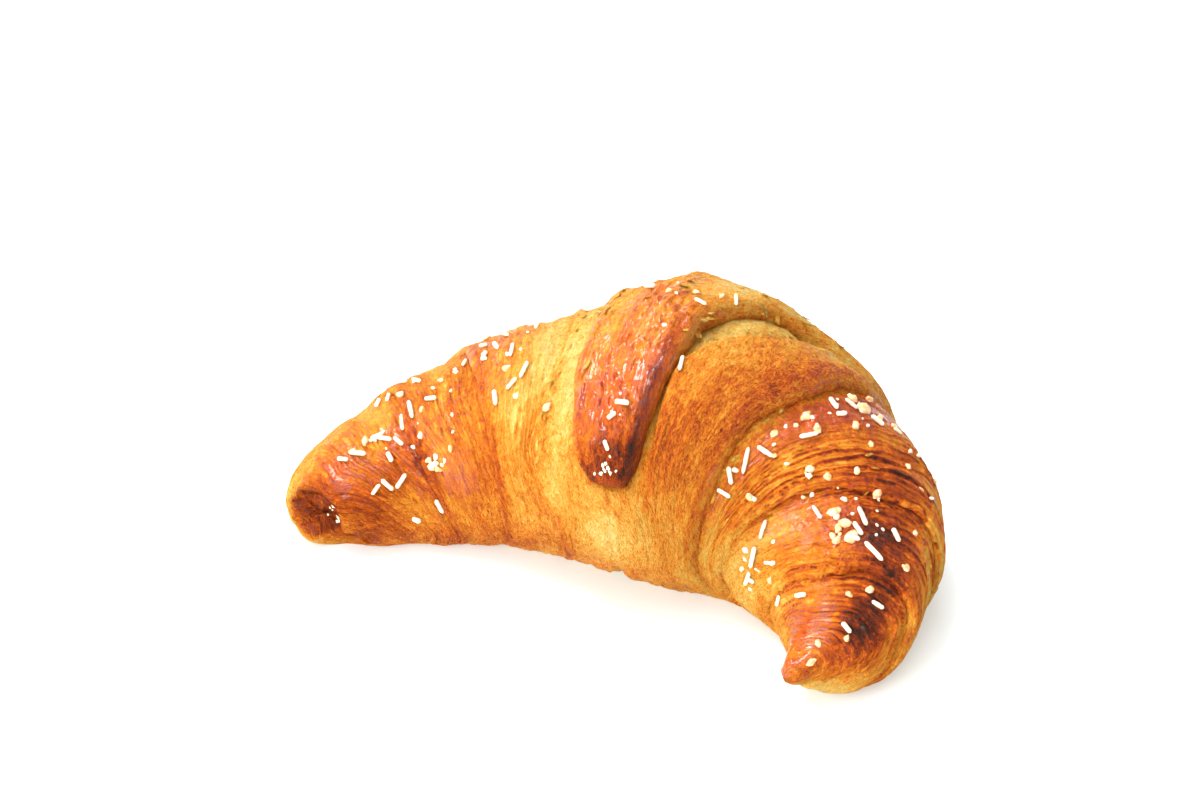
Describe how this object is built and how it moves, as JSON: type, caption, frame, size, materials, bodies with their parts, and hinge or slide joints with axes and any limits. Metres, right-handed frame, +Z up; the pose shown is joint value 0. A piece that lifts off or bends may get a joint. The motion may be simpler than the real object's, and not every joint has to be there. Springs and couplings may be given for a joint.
{
  "type": "croissant",
  "caption": "Crescent-shaped butter croissant with wrapped layers, a glazed tongue over the belly, curled horns and sugar sticks on its crust.",
  "frame": {"origin": "middle of the bounding box's bottom face, on the surface that the croissant lies on", "axes": "+Z up, +X along the longest extent towards the tightly curled horn, +Y towards the back of the crescent; both horns point to -Y"},
  "size_m": [0.1502, 0.0974, 0.06],
  "materials": {
    "crust": "satin",
    "sugar": "satin"
  },
  "bodies": {
    "root": {"croissant": "crust", "sugar_stick_01": "sugar", "sugar_stick_02": "sugar", "sugar_stick_03": "sugar", "sugar_stick_04": "sugar", "sugar_stick_05": "sugar", "sugar_stick_06": "sugar", "sugar_stick_07": "sugar", "sugar_stick_08": "sugar", "sugar_stick_09": "sugar", "sugar_stick_10": "sugar", "sugar_stick_11": "sugar", "sugar_stick_12": "sugar", "sugar_stick_13": "sugar", "sugar_stick_14": "sugar", "sugar_stick_15": "sugar", "sugar_stick_16": "sugar", "sugar_stick_17": "sugar", "sugar_stick_18": "sugar", "sugar_stick_19": "sugar", "sugar_stick_20": "sugar", "sugar_stick_21": "sugar", "sugar_stick_22": "sugar", "sugar_stick_23": "sugar", "sugar_stick_24": "sugar", "sugar_stick_25": "sugar", "sugar_stick_26": "sugar", "sugar_stick_27": "sugar", "sugar_stick_28": "sugar", "sugar_stick_29": "sugar", "sugar_stick_30": "sugar", "sugar_stick_31": "sugar", "sugar_stick_32": "sugar", "sugar_stick_33": "sugar", "sugar_stick_34": "sugar", "sugar_stick_35": "sugar", "sugar_stick_36": "sugar", "sugar_stick_37": "sugar", "sugar_stick_38": "sugar", "sugar_stick_39": "sugar", "sugar_stick_40": "sugar", "sugar_stick_41": "sugar", "sugar_stick_42": "sugar", "sugar_stick_43": "sugar", "sugar_stick_44": "sugar", "sugar_stick_45": "sugar", "sugar_stick_46": "sugar", "sugar_stick_47": "sugar", "sugar_stick_48": "sugar", "sugar_stick_49": "sugar", "sugar_stick_50": "sugar", "sugar_stick_51": "sugar", "sugar_stick_52": "sugar", "sugar_stick_53": "sugar", "sugar_stick_54": "sugar"}
  },
  "joints": []
}
